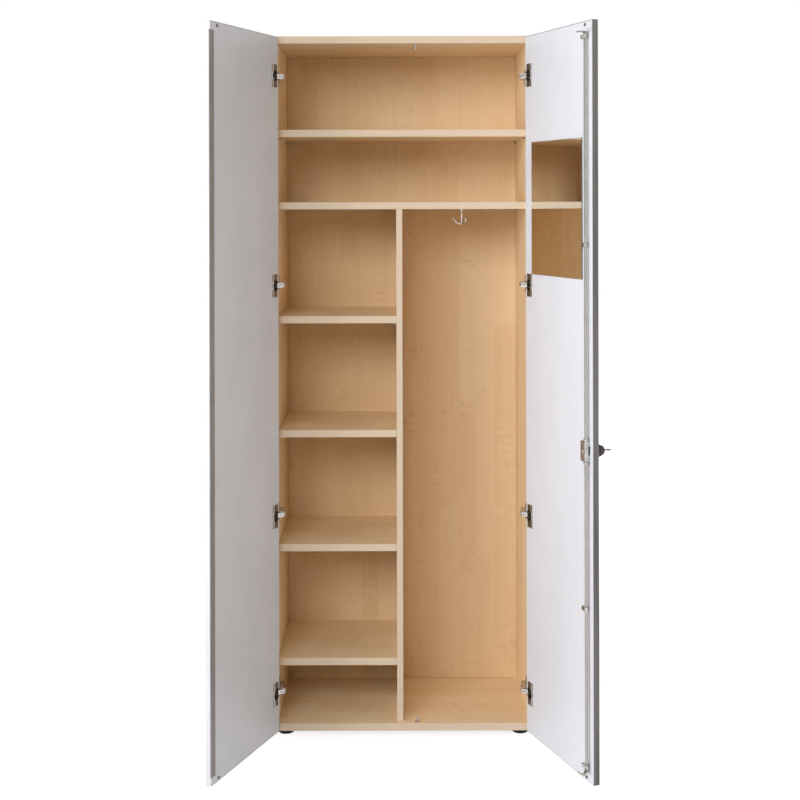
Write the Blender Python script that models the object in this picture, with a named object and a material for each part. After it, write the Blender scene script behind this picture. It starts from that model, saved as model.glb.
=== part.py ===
# Two-door wardrobe with a shelf bay and a hanging bay, both doors standing open.
# Metres, +Z up, +Y towards the back; the origin is on the floor under the middle of the carcass.
import math

import bmesh
import bpy
from mathutils import Matrix, Vector

# Carcass
WIDTH = 0.800             # outside the side panels
HEIGHT = 2.134            # underside of the bottom board to the top
DEPTH = 0.3805            # front edges of the boards to the back
BOARD = 0.022             # top, bottom and shelf boards
SIDE = 0.016              # side panels
DIVIDER = 0.019           # upright between the two bays
BACK = 0.008              # back panel
DIVIDER_SHIFT = -0.0085   # divider's centre from the middle of the carcass
SET_BACK = 0.020          # shelves and divider behind the front edges
TOP_BAY = 0.264           # clear height above the hat shelf
HAT_BAY = 0.202           # clear height between the fixed shelf and the hat shelf
SHELF_PITCH = 0.352       # eleven holes of the 32 mm hole row
LEAST_BAY = 0.150         # clear height that the lowest bay keeps
BOARD_ROUND = 0.0008      # broken edges of the boards
SEAT = 0.0003             # gap between faces that rest on each other

# Shelf supports under the hat shelf
SUPPORT_RADIUS = 0.0035
SUPPORT_LENGTH = 0.009
SUPPORT_INSET = 0.037     # from the shelf's front and back edges

# Levelling feet
FOOT_HEIGHT = 0.024
FOOT_RADIUS = 0.0255
FOOT_DISC = 0.014         # height of the wide disc
FOOT_HUB_RADIUS = 0.014
FOOT_CHAMFER = 0.002
FOOT_INSET = 0.036        # foot's centre from the outside of the side panel
FOOT_FRONT = 0.058        # foot's centre behind the front edges
FOOT_REAR = 0.028         # foot's centre from the back
STEM_RADIUS = 0.005
STEM_TOP = 0.003          # stem's end below the bottom board's upper face
STEM_GAP = 0.0004
HEX_RADIUS = 0.0028       # key socket in the stem's end
HEX_DEPTH = 0.006

# Doors
DOOR = 0.019
DOOR_GAP = 0.0035         # door's inner face in front of the carcass
DOOR_SIDE_REVEAL = 0.0015
DOOR_END_REVEAL = 0.003
DOOR_MEETING_GAP = 0.003
DOOR_ROUND = 0.0010
LEFT_OPEN = 112.75        # degrees that the doors stand open
RIGHT_OPEN = 112.0

# Concealed cup hinges
HINGE_ABOVE = 0.098       # middle hinges' centres above the shelves
HINGE_END = 0.102         # end hinges' centres from the top and bottom board
CUP_RADIUS = 0.0175
CUP_EDGE = 0.0045         # door material between the cup and the door's edge
CUP_WALL = 0.0008
POCKET_SKIN = 0.0055      # door material left behind the cup
PLATE_HEIGHT = 0.070
PLATE_WIDTH = 0.029
PLATE_EDGE = 0.010        # plate's start from the door's edge
RIM = 0.0015              # cup's rim over the door's face
PLATE = 0.0012
PIVOT_EDGE = 0.008        # hinge axis from the door's edge
PIN_RADIUS = 0.0012
PIN_GAP = 0.0003
KNUCKLE_RADIUS = 0.0029
KNUCKLE_GAP = 0.0005      # knuckle above the cup's floor
NOSE_HALF = 0.0062        # half height of the arm's nose
NOSE_GAP = 0.0012
NECK = 0.0036             # thickness of the bent neck
ARM_LENGTH = 0.062        # arm's reach behind the front edges
ARM_START = 0.001
ARM_DEPTH = 0.0205        # arm's height off the side panel
ARM_HALF = 0.008
ARM_PLATE = 0.0025
ARM_PLATE_HALF = 0.025
ARM_PLATE_START = 0.018   # mounting plate behind the front edges
ARM_PLATE_LENGTH = 0.036

# Door bumpers and the left door's strike strip
BUMPER_RADIUS = 0.0045
BUMPER_FREE_EDGE = 0.038
BUMPER_END = 0.0105
STRIP = 0.003
STRIP_OVER_DOOR = 0.0165
STRIP_PAST_EDGE = 0.008
STRIP_END = 0.026

# Mirror on the right door
MIRROR = 0.003
MIRROR_HEIGHT = 0.400
MIRROR_DROP = 0.326       # mirror's top edge below the door's top edge
MIRROR_HINGE_MARGIN = 0.0435
MIRROR_FREE_MARGIN = 0.0535

# Rotary bolt: rods, hooks, guides, lock case
ROD_RADIUS = 0.004
ROD_GAP = 0.00035
ROD_OFF_DOOR = 0.010      # rod's axis from the door's inner face
ROD_FREE_EDGE = 0.0225    # rod's axis from the door's free edge
ROD_END = 0.0315          # rod's end from the door's end
HOOK_INSET = 0.0008       # hook below the rod's end
HOOK = 0.004
HOOK_HUB = 0.007
HOOK_ARM = 0.006
HOOK_FINGER = 0.003
HOOK_ARM_ANGLE = 130.0    # degrees from the hinge side towards the carcass
HOOK_TIP_ANGLE = 75.0
BOLT_TURN = 90.0          # degrees from free to locked
STRIKE_ANGLE = 23.0       # strike pin from the rod, door shut
STRIKE_REACH = 0.020
STRIKE_RADIUS = 0.0023
STRIKE_LENGTH = 0.018
STRIKE_FLANGE_RADIUS = 0.006
STRIKE_FLANGE = 0.0015
STRIKE_GAP = 0.0007
GUIDE_FOOT = 0.0195       # guide's foot from the rod's axis, towards the hinges
GUIDE_DEPTH = 0.0145      # foot's height off the door
GUIDE_HEIGHT = 0.012
GUIDE_COVER = 0.002       # guide's wall round the rod
GUIDE_ROUND = 0.0015
GUIDE_FROM_END = 0.014    # end guide's centre from the rod's end
GUIDE_SHARE = 0.492       # middle guide's place, share of the way from the lock to the rod's end
LOCK_HEIGHT = 0.928       # knob's axis above the carcass's underside
CASE_HINGE_SIDE = 0.0205  # case's walls from the rod's axis
CASE_FREE_SIDE = 0.0058
CASE_HEIGHT = 0.057
CASE_COVER = 0.0012
CASE_ROUND = 0.0012
CASE_ROD_BITE = 0.012     # rod's end inside the case

# Knob, lock cylinder and key
KNOB_PROFILE = ((0.0180, 0.0), (0.0180, 0.003), (0.0165, 0.0045), (0.0165, 0.009), (0.0176, 0.0105),
                (0.0176, 0.0135), (0.0160, 0.0155), (0.0138, 0.0232), (0.0110, 0.026))
SPINDLE_RADIUS = 0.0045
SPINDLE_BITE = 0.005      # spindle's end inside the lock case
SPINDLE_GAP = 0.0004
CYLINDER_RADIUS = 0.007
CYLINDER_LENGTH = 0.020
CYLINDER_PROUD = 0.0005
CYLINDER_GAP = 0.00035
KEY = 0.0026
KEY_BLADE = 0.007
KEY_BITE = 0.016
KEY_GAP = 0.0003
KEY_NECK = 0.007
KEY_BOW_RADIUS = 0.0095
KEY_HOLE_RADIUS = 0.0022

# Swivelling coat hook under the fixed shelf
COAT_BASE_RADIUS = 0.014
COAT_BASE = 0.003
COAT_BOSS_RADIUS = 0.006
COAT_BOSS = 0.005
COAT_PIN_RADIUS = 0.0025
COAT_PIN_GAP = 0.0004
COAT_PIN_BITE = 0.004
COAT_STEM_RADIUS = 0.005
COAT_STEM = 0.042
COAT_WIRE = 0.0021
COAT_REACH = 0.0245       # arm's tip from the stem's axis
COAT_RISE = 0.018         # arm's tip above its lowest point
COAT_TIP_RADIUS = 0.0029
COAT_ARMS = 3

ROUND_SIDES = 24
SMALL_SIDES = 16

# Places that several pieces share
FRONT = -DEPTH / 2
INNER_X = WIDTH / 2 - SIDE
BACK_FACE = DEPTH / 2 - BACK
SHELF_FRONT = FRONT + SET_BACK
HAT_TOP = HEIGHT - BOARD - TOP_BAY
FIXED_TOP = HAT_TOP - BOARD - HAT_BAY
DIVIDER_LEFT = DIVIDER_SHIFT - DIVIDER / 2
DIVIDER_RIGHT = DIVIDER_SHIFT + DIVIDER / 2
DOOR_WIDTH = (WIDTH - DOOR_MEETING_GAP) / 2 - DOOR_SIDE_REVEAL
DOOR_LOW = DOOR_END_REVEAL
DOOR_HIGH = HEIGHT - DOOR_END_REVEAL
POCKET = DOOR - POCKET_SKIN
CUP_FLOOR = POCKET - SEAT - CUP_WALL
PIVOT_DEPTH = CUP_FLOOR - KNUCKLE_GAP - KNUCKLE_RADIUS
PIVOT_X = WIDTH / 2 - DOOR_SIDE_REVEAL - PIVOT_EDGE
PIVOT_Y = FRONT - DOOR_GAP - PIVOT_DEPTH
CUP_X = CUP_EDGE + CUP_RADIUS - PIVOT_EDGE
SLOT_HALF = NOSE_HALF + NOSE_GAP
ROD_LOW = DOOR_LOW + ROD_END
ROD_HIGH = DOOR_HIGH - ROD_END
ROD_ACROSS = DOOR_WIDTH - ROD_FREE_EDGE
CASE_DEPTH = ROD_OFF_DOOR + ROD_RADIUS + ROD_GAP + CASE_COVER
KNOB_LENGTH = KNOB_PROFILE[-1][1]


def shelf_tops():
    """Upper faces of the shelf bay's loose shelves, from the highest down."""
    tops = []
    top = FIXED_TOP - SHELF_PITCH
    while top - 2 * BOARD >= LEAST_BAY:
        tops.append(top)
        top -= SHELF_PITCH
    return tops


def hinge_heights():
    """One hinge above the bottom board, one above every second shelf and one below the top board."""
    middle = [top + HINGE_ABOVE for top in sorted(shelf_tops()[::2])]
    return [BOARD + HINGE_END] + middle + [HEIGHT - BOARD - HINGE_END]


# Mesh tools
def mesh_from(bm):
    bmesh.ops.recalc_face_normals(bm, faces=bm.faces)
    mesh = bpy.data.meshes.new("shape")
    bm.to_mesh(mesh)
    bm.free()
    return mesh


def box(a, b, rounding=0.0):
    """A block between two opposite corners, given in any order."""
    low = Vector(map(min, a, b))
    high = Vector(map(max, a, b))
    bm = bmesh.new()
    bmesh.ops.create_cube(bm, size=1.0)
    bmesh.ops.scale(bm, vec=high - low, verts=bm.verts)
    bmesh.ops.translate(bm, vec=(low + high) / 2, verts=bm.verts)
    if rounding:
        bmesh.ops.bevel(bm, geom=bm.edges, offset=rounding, segments=1, affect="EDGES", clamp_overlap=True)
    return mesh_from(bm)


def cylinder(radius, start, end, sides=ROUND_SIDES):
    """A round bar from one point to another."""
    start = Vector(start)
    along = Vector(end) - start
    turn = along.to_track_quat("Z", "Y").to_matrix().to_4x4()
    bm = bmesh.new()
    bmesh.ops.create_cone(
        bm, cap_ends=True, segments=sides, radius1=radius, radius2=radius, depth=along.length,
        matrix=Matrix.Translation(start + along / 2) @ turn,
    )
    return mesh_from(bm)


def turned(profile, sides=ROUND_SIDES):
    """A profile of (radius, height) points spun about Z, its first and last point on the axis."""
    bm = bmesh.new()
    verts = [bm.verts.new((radius, 0.0, height)) for radius, height in profile]
    edges = [bm.edges.new(pair) for pair in zip(verts, verts[1:])]
    bmesh.ops.spin(
        bm, geom=verts + edges, cent=(0, 0, 0), axis=(0, 0, 1), angle=2 * math.pi, steps=sides,
        use_merge=True, use_duplicate=False,
    )
    bmesh.ops.remove_doubles(bm, verts=bm.verts, dist=1e-6)
    return mesh_from(bm)


def prism(outline, low, high):
    """A flat outline of (x, y) points, raised from one height to another."""
    bm = bmesh.new()
    face = bm.faces.new([bm.verts.new((x, y, low)) for x, y in outline])
    raised = bmesh.ops.extrude_face_region(bm, geom=[face])["geom"]
    verts = [item for item in raised if isinstance(item, bmesh.types.BMVert)]
    bmesh.ops.translate(bm, vec=(0, 0, high - low), verts=verts)
    return mesh_from(bm)


def arc(radius, first, last, steps, centre=(0.0, 0.0)):
    """Points on an arc, angles in degrees."""
    angles = [math.radians(first + (last - first) * i / steps) for i in range(steps + 1)]
    return [(centre[0] + radius * math.cos(a), centre[1] + radius * math.sin(a)) for a in angles]


def wire(points, radius):
    """A round wire along a list of points, with closed ends."""
    curve = bpy.data.curves.new("wire", "CURVE")
    curve.dimensions = "3D"
    curve.bevel_depth = radius
    curve.bevel_resolution = 2
    curve.use_fill_caps = True
    spline = curve.splines.new("POLY")
    spline.points.add(len(points) - 1)
    for point, place in zip(spline.points, points):
        point.co = (*place, 1.0)
    holder = bpy.data.objects.new("wire", curve)
    mesh = bpy.data.meshes.new_from_object(holder)
    bpy.data.objects.remove(holder)
    bm = bmesh.new()
    bm.from_mesh(mesh)
    bmesh.ops.remove_doubles(bm, verts=bm.verts, dist=1e-6)
    return mesh_from(bm)


def carve(base, *steps):
    """The base mesh after each (operation, mesh) Boolean step in turn."""
    target = bpy.data.objects.new("carve", base)
    bpy.context.scene.collection.objects.link(target)
    tools = []
    for operation, mesh in steps:
        tool = bpy.data.objects.new("tool", mesh)
        bpy.context.scene.collection.objects.link(tool)
        tools.append(tool)
        cut = target.modifiers.new(operation, "BOOLEAN")
        cut.operation = operation
        cut.object = tool
    graph = bpy.context.evaluated_depsgraph_get()
    result = bpy.data.meshes.new_from_object(target.evaluated_get(graph))
    for item in [target] + tools:
        bpy.data.objects.remove(item)
    return result


def moved(mesh, matrix):
    """A copy of a mesh after a matrix; a mirroring matrix also turns the faces back outwards."""
    result = mesh.copy()
    result.transform(matrix)
    if matrix.determinant() < 0:
        result.flip_normals()
    return result


MIRROR_X = Matrix.Scale(-1, 4, Vector((1, 0, 0)))
MIRROR_Z = Matrix.Scale(-1, 4, Vector((0, 0, 1)))


# Materials
def finish(name, colour, roughness, metallic=0.0):
    made = bpy.data.materials.new(name)
    made.use_nodes = True
    shader = made.node_tree.nodes["Principled BSDF"]
    shader.inputs["Base Color"].default_value = (*colour, 1.0)
    shader.inputs["Roughness"].default_value = roughness
    shader.inputs["Metallic"].default_value = metallic
    return made


def finishes():
    return {
        "maple": finish("maple", (0.63, 0.42, 0.23), 0.45),
        "door": finish("door", (0.78, 0.77, 0.77), 0.4),
        "steel": finish("steel", (0.62, 0.58, 0.53), 0.28, 1.0),
        "glass": finish("mirror", (0.9, 0.9, 0.9), 0.02, 1.0),
        "grey": finish("grey_plastic", (0.23, 0.21, 0.2), 0.5),
        "black": finish("black_plastic", (0.02, 0.018, 0.017), 0.5),
        "brown": finish("brown_plastic", (0.045, 0.025, 0.02), 0.4),
    }


def piece(name, mesh, material, parent, place=(0.0, 0.0, 0.0), smooth=False):
    """One named part, seated in its parent's frame."""
    if mesh.users:
        mesh = mesh.copy()
    mesh.name = name
    mesh.materials.clear()
    mesh.materials.append(material)
    if smooth:
        mesh.shade_smooth()
        mesh.set_sharp_from_angle(angle=math.radians(35))
    made = bpy.data.objects.new(name, mesh)
    bpy.context.scene.collection.objects.link(made)
    made.parent = parent
    made.location = place
    return made


def empty(name, parent=None, place=(0.0, 0.0, 0.0), turn=0.0):
    made = bpy.data.objects.new(name, None)
    bpy.context.scene.collection.objects.link(made)
    made.parent = parent
    made.location = place
    made.rotation_euler = (0.0, 0.0, math.radians(turn))
    return made


# Carcass
def foot_places():
    x = WIDTH / 2 - FOOT_INSET
    front = FRONT + FOOT_FRONT
    rear = DEPTH / 2 - FOOT_REAR
    return {
        "foot_front_left": (-x, front),
        "foot_front_right": (x, front),
        "foot_rear_left": (-x, rear),
        "foot_rear_right": (x, rear),
    }


def make_boards(look, body):
    half = WIDTH / 2
    back = DEPTH / 2
    wood = look["maple"]
    holes = [
        ("DIFFERENCE", cylinder(STEM_RADIUS + STEM_GAP, (x, y, -BOARD), (x, y, 2 * BOARD), SMALL_SIDES))
        for x, y in foot_places().values()
    ]
    floor = box((-half, FRONT, 0), (half, back, BOARD), BOARD_ROUND)
    piece("bottom_board", carve(floor, *holes), wood, body)
    roof = box((-half, FRONT, HEIGHT - BOARD), (half, back, HEIGHT), BOARD_ROUND)
    piece("top_board", roof, wood, body)
    low = BOARD + SEAT
    high = HEIGHT - BOARD - SEAT
    for name, side in (("side_panel_left", -1), ("side_panel_right", 1)):
        panel = box((side * half, FRONT, low), (side * INNER_X, back, high), BOARD_ROUND)
        piece(name, panel, wood, body)
    inside = INNER_X - SEAT
    panel = box((-inside, BACK_FACE, low), (inside, back, high), BOARD_ROUND)
    piece("back_panel", panel, wood, body)
    rear = BACK_FACE - SEAT
    for name, top in (("fixed_shelf", FIXED_TOP), ("hat_shelf", HAT_TOP)):
        shelf = box((-inside, SHELF_FRONT, top - BOARD), (inside, rear, top), BOARD_ROUND)
        piece(name, shelf, wood, body)
    upright = box(
        (DIVIDER_LEFT, SHELF_FRONT, low), (DIVIDER_RIGHT, rear, FIXED_TOP - BOARD - SEAT), BOARD_ROUND
    )
    piece("divider_panel", upright, wood, body)
    for number, top in enumerate(sorted(shelf_tops()), 1):
        shelf = box(
            (-inside, SHELF_FRONT, top - BOARD), (DIVIDER_LEFT - SEAT, rear, top), BOARD_ROUND
        )
        piece(f"shelf_{number}", shelf, wood, body)


def make_shelf_supports(look, body):
    z = HAT_TOP - BOARD - SEAT - SUPPORT_RADIUS
    front = SHELF_FRONT + SUPPORT_INSET
    rear = BACK_FACE - SUPPORT_INSET
    places = [(side, y) for side in (-1, 1) for y in (front, rear)]
    for number, (side, y) in enumerate(places, 1):
        start = (side * (INNER_X - SEAT), y, z)
        end = (side * (INNER_X - SEAT - SUPPORT_LENGTH), y, z)
        peg = cylinder(SUPPORT_RADIUS, start, end, SMALL_SIDES)
        piece(f"shelf_support_{number}", peg, look["steel"], body, smooth=True)


def make_feet(look, body):
    disc_top = FOOT_DISC - FOOT_HEIGHT
    stem_top = BOARD - STEM_TOP
    foot = turned((
        (0, -FOOT_HEIGHT),
        (FOOT_RADIUS - FOOT_CHAMFER, -FOOT_HEIGHT),
        (FOOT_RADIUS, FOOT_CHAMFER - FOOT_HEIGHT),
        (FOOT_RADIUS, disc_top - FOOT_CHAMFER),
        (FOOT_RADIUS - FOOT_CHAMFER, disc_top),
        (FOOT_HUB_RADIUS, disc_top),
        (FOOT_HUB_RADIUS, -SEAT),
        (STEM_RADIUS, -SEAT),
        (STEM_RADIUS, stem_top),
        (0, stem_top),
    ))
    socket = cylinder(HEX_RADIUS, (0, 0, stem_top - HEX_DEPTH), (0, 0, stem_top + HEX_DEPTH), 6)
    foot = carve(foot, ("DIFFERENCE", socket))
    for name, (x, y) in foot_places().items():
        piece(name, foot, look["black"], body, (x, y, 0), smooth=True)


# Hinges: the arm belongs to the carcass, the cup to the door. Both are drawn for the left door,
# with the hinge axis on Z and the door's free edge towards +X when it is shut.
def hinge_arm():
    face = PIVOT_X - INNER_X + SEAT
    front = FRONT - PIVOT_Y
    bore = PIN_RADIUS + PIN_GAP
    body_start = front + ARM_START
    aim = Vector((face + ARM_DEPTH / 2, body_start + NECK / 2))
    across = Vector((-aim.y, aim.x)).normalized() * NECK / 2
    neck = [-across, across, aim + across, aim - across]
    knuckle = cylinder(KNUCKLE_RADIUS, (0, 0, -NOSE_HALF), (0, 0, NOSE_HALF), SMALL_SIDES)
    body = box(
        (face, body_start, -ARM_HALF), (face + ARM_DEPTH, front + ARM_LENGTH, ARM_HALF), BOARD_ROUND
    )
    plate_start = front + ARM_PLATE_START
    plate = box(
        (face, plate_start, -ARM_PLATE_HALF),
        (face + ARM_PLATE, plate_start + ARM_PLATE_LENGTH, ARM_PLATE_HALF),
    )
    hole = cylinder(bore, (0, 0, -2 * NOSE_HALF), (0, 0, 2 * NOSE_HALF), SMALL_SIDES)
    return carve(
        knuckle,
        ("UNION", prism([tuple(p) for p in neck], -NOSE_HALF, NOSE_HALF)),
        ("UNION", body),
        ("UNION", plate),
        ("DIFFERENCE", hole),
    )


def slot(floor, past):
    """The way that the arm's nose takes through the cup and the door's edge."""
    return box(
        (-PIVOT_EDGE - past, PIVOT_DEPTH - floor, -SLOT_HALF), (CUP_X, PIVOT_DEPTH + past, SLOT_HALF)
    )


def hinge_cup():
    outer = CUP_RADIUS - SEAT
    inner = outer - CUP_WALL
    plate_top = PIVOT_DEPTH + SEAT + PLATE
    past = 2 * PLATE + SEAT
    shell = cylinder(outer, (CUP_X, PIVOT_DEPTH - CUP_FLOOR - CUP_WALL, 0), (CUP_X, plate_top, 0))
    rim = cylinder(CUP_RADIUS + RIM, (CUP_X, PIVOT_DEPTH + SEAT, 0), (CUP_X, plate_top, 0))
    plate_start = PLATE_EDGE - PIVOT_EDGE
    plate = box(
        (plate_start, PIVOT_DEPTH + SEAT, -PLATE_HEIGHT / 2),
        (plate_start + PLATE_WIDTH, plate_top, PLATE_HEIGHT / 2),
    )
    cavity = cylinder(inner, (CUP_X, PIVOT_DEPTH - CUP_FLOOR, 0), (CUP_X, PIVOT_DEPTH + past, 0))
    pin_half = math.sqrt(CUP_RADIUS**2 - (CUP_X + PIN_RADIUS) ** 2) - SEAT
    pin = cylinder(PIN_RADIUS, (0, 0, -pin_half), (0, 0, pin_half), SMALL_SIDES)
    return carve(
        shell,
        ("UNION", rim),
        ("UNION", plate),
        ("DIFFERENCE", cavity),
        ("DIFFERENCE", slot(CUP_FLOOR, past)),
        ("UNION", pin),
    )


def make_hinges(look, body, doors):
    arm = hinge_arm()
    cup = hinge_cup()
    for side, turn in (("left", Matrix.Identity(4)), ("right", MIRROR_X)):
        x = -PIVOT_X if side == "left" else PIVOT_X
        for number, z in enumerate(hinge_heights(), 1):
            piece(f"hinge_arm_{side}_{number}", moved(arm, turn), look["steel"], body, (x, PIVOT_Y, z))
            piece(f"hinge_cup_{side}_{number}", moved(cup, turn), look["steel"], doors[side], (0, 0, z))


# Doors, each in a frame on its hinge axis. across() runs from the hinge edge to the free edge, and
# inward() from the door's inner face towards the carcass.
def across(side, distance):
    step = distance - PIVOT_EDGE
    return step if side == "left" else -step


def inward(distance):
    return PIVOT_DEPTH + distance


def door_panel(side, more_cuts=()):
    panel = box(
        (across(side, 0), inward(-DOOR), DOOR_LOW), (across(side, DOOR_WIDTH), inward(0), DOOR_HIGH),
        DOOR_ROUND,
    )
    turn = Matrix.Identity(4) if side == "left" else MIRROR_X
    past = DOOR / 2
    pocket = cylinder(CUP_RADIUS, (CUP_X, PIVOT_DEPTH - POCKET, 0), (CUP_X, PIVOT_DEPTH + past, 0))
    cuts = []
    for z in hinge_heights():
        raise_to = Matrix.Translation((0, 0, z)) @ turn
        cuts.append(("DIFFERENCE", moved(pocket, raise_to)))
        cuts.append(("DIFFERENCE", moved(slot(POCKET, past), raise_to)))
    return carve(panel, *cuts, *more_cuts)


def make_bumpers(side, look, door):
    x = across(side, DOOR_WIDTH - BUMPER_FREE_EDGE)
    for end, z in (("top", DOOR_HIGH - BUMPER_END), ("bottom", DOOR_LOW + BUMPER_END)):
        dot = cylinder(BUMPER_RADIUS, (0, inward(SEAT), 0), (0, inward(DOOR_GAP - SEAT), 0), SMALL_SIDES)
        piece(f"bumper_{side}_{end}", dot, look["grey"], door, (x, 0, z), smooth=True)


def make_left_door(look, door):
    piece("door_left", door_panel("left"), look["door"], door)
    make_bumpers("left", look, door)
    strip = box(
        (across("left", DOOR_WIDTH - STRIP_OVER_DOOR), inward(SEAT), DOOR_LOW + STRIP_END),
        (across("left", DOOR_WIDTH + STRIP_PAST_EDGE), inward(SEAT + STRIP), DOOR_HIGH - STRIP_END),
    )
    piece("strike_strip", strip, look["grey"], door)


# Rotary bolt, in the right door's frame with Z along the rod. Angles run from the hinge side (+X)
# towards the carcass (+Y).
def hook_mesh():
    finger_in = STRIKE_REACH + STRIKE_RADIUS + STRIKE_GAP
    finger_out = finger_in + HOOK_FINGER
    angle = math.radians(HOOK_ARM_ANGLE)
    along = Vector((math.cos(angle), math.sin(angle)))
    aside = Vector((-along.y, along.x)) * HOOK_ARM / 2
    reach = along * (finger_in + finger_out) / 2
    arm = [tuple(p) for p in (-aside, reach - aside, reach + aside, aside)]
    # The finger starts at the far side of the arm.
    start = HOOK_ARM_ANGLE + math.degrees(math.asin(HOOK_ARM / 2 / finger_in))
    outline = arc(finger_in, start, HOOK_TIP_ANGLE, 10) + arc(finger_out, HOOK_TIP_ANGLE, start, 10)
    hub = cylinder(HOOK_HUB, (0, 0, 0), (0, 0, HOOK), SMALL_SIDES)
    bore = cylinder(ROD_RADIUS + ROD_GAP, (0, 0, -HOOK), (0, 0, 2 * HOOK), SMALL_SIDES)
    return carve(
        hub,
        ("UNION", prism(arm, 0, HOOK)),
        ("UNION", prism(outline, 0, HOOK)),
        ("DIFFERENCE", bore),
    )


def make_bolt(look, rod_axis):
    steel = look["steel"]
    case_low = LOCK_HEIGHT - CASE_HEIGHT / 2
    case_high = LOCK_HEIGHT + CASE_HEIGHT / 2
    upper = cylinder(ROD_RADIUS, (0, 0, case_high - CASE_ROD_BITE), (0, 0, ROD_HIGH), SMALL_SIDES)
    lower = cylinder(ROD_RADIUS, (0, 0, ROD_LOW), (0, 0, case_low + CASE_ROD_BITE), SMALL_SIDES)
    piece("rod_upper", upper, steel, rod_axis, smooth=True)
    piece("rod_lower", lower, steel, rod_axis, smooth=True)
    hook = hook_mesh()
    piece("rod_hook_top", hook, steel, rod_axis, (0, 0, ROD_HIGH - HOOK_INSET - HOOK))
    piece("rod_hook_bottom", moved(hook, MIRROR_Z), steel, rod_axis, (0, 0, ROD_LOW + HOOK_INSET + HOOK))


def make_guides(look, door):
    x = across("right", ROD_ACROSS)
    y = inward(ROD_OFF_DOOR)
    half = GUIDE_HEIGHT / 2
    foot = box((x, inward(SEAT), -half), (x + GUIDE_FOOT, inward(GUIDE_DEPTH), half), GUIDE_ROUND)
    ring = cylinder(ROD_RADIUS + ROD_GAP + GUIDE_COVER, (x, y, -half), (x, y, half))
    bore = cylinder(ROD_RADIUS + ROD_GAP, (x, y, -2 * half), (x, y, 2 * half), SMALL_SIDES)
    guide = carve(foot, ("UNION", ring), ("DIFFERENCE", bore))
    heights = (
        ROD_LOW + GUIDE_FROM_END,
        LOCK_HEIGHT + GUIDE_SHARE * (ROD_LOW - LOCK_HEIGHT),
        LOCK_HEIGHT + GUIDE_SHARE * (ROD_HIGH - LOCK_HEIGHT),
        ROD_HIGH - GUIDE_FROM_END,
    )
    for number, z in enumerate(heights, 1):
        piece(f"rod_guide_{number}", guide, look["steel"], door, (0, 0, z))


def make_lock_case(look, door):
    x = across("right", ROD_ACROSS)
    y = inward(ROD_OFF_DOOR)
    low = LOCK_HEIGHT - CASE_HEIGHT / 2
    high = LOCK_HEIGHT + CASE_HEIGHT / 2
    block = box(
        (x - CASE_FREE_SIDE, inward(SEAT), low), (x + CASE_HINGE_SIDE, inward(CASE_DEPTH), high), CASE_ROUND
    )
    bite = CASE_ROD_BITE + SEAT
    radius = ROD_RADIUS + ROD_GAP
    top_bore = cylinder(radius, (x, y, high - bite), (x, y, high + bite), SMALL_SIDES)
    bottom_bore = cylinder(radius, (x, y, low - bite), (x, y, low + bite), SMALL_SIDES)
    spindle_end = inward(SPINDLE_BITE + SEAT)
    spindle_bore = cylinder(
        SPINDLE_RADIUS + SPINDLE_GAP, (x, inward(-DOOR), LOCK_HEIGHT), (x, spindle_end, LOCK_HEIGHT),
        SMALL_SIDES,
    )
    case = carve(block, *[("DIFFERENCE", hole) for hole in (top_bore, bottom_bore, spindle_bore)])
    piece("lock_case", case, look["steel"], door)


# Knob and key, in a frame on the knob's axis with Z pointing out of the door's outer face.
def make_knob(look, knob_axis):
    bore = CYLINDER_RADIUS + CYLINDER_GAP
    bore_floor = KNOB_LENGTH + CYLINDER_PROUD - CYLINDER_LENGTH - SEAT
    spindle_end = -DOOR - SPINDLE_BITE
    profile = [(0, spindle_end), (SPINDLE_RADIUS, spindle_end), (SPINDLE_RADIUS, SEAT)]
    profile += [(radius, max(height, SEAT)) for radius, height in KNOB_PROFILE]
    profile += [(bore, KNOB_LENGTH), (bore, bore_floor), (0, bore_floor)]
    piece("turn_knob", turned(profile), look["brown"], knob_axis, smooth=True)
    face = KNOB_LENGTH + CYLINDER_PROUD
    plug = cylinder(CYLINDER_RADIUS, (0, 0, face - CYLINDER_LENGTH), (0, 0, face))
    keyway = box(
        (-KEY_BLADE / 2 - KEY_GAP, -KEY / 2 - KEY_GAP, face - KEY_BITE - KEY_GAP),
        (KEY_BLADE / 2 + KEY_GAP, KEY / 2 + KEY_GAP, face + KEY_BITE),
    )
    plug = carve(plug, ("DIFFERENCE", keyway))
    piece("lock_cylinder", plug, look["steel"], knob_axis, smooth=True)
    half = KEY_BLADE / 2
    bow_centre = KEY_NECK + KEY_BOW_RADIUS
    meet = math.degrees(math.asin(half / KEY_BOW_RADIUS))
    outline = [(-half, -KEY_BITE), (half, -KEY_BITE)]
    outline += arc(KEY_BOW_RADIUS, meet - 90, 270 - meet, 20, (0, bow_centre))
    blank = prism(outline, -KEY / 2, KEY / 2)
    hole = cylinder(KEY_HOLE_RADIUS, (0, bow_centre, -KEY), (0, bow_centre, KEY), SMALL_SIDES)
    stand = Matrix.Translation((0, 0, face)) @ Matrix.Rotation(math.radians(90), 4, "X")
    key = moved(carve(blank, ("DIFFERENCE", hole)), stand)
    piece("key", key, look["steel"], knob_axis)


def make_mirror(look, door):
    top = DOOR_HIGH - MIRROR_DROP
    glass = box(
        (across("right", MIRROR_HINGE_MARGIN), inward(SEAT), top - MIRROR_HEIGHT),
        (across("right", DOOR_WIDTH - MIRROR_FREE_MARGIN), inward(SEAT + MIRROR), top),
    )
    piece("mirror", glass, look["glass"], door)


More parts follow.
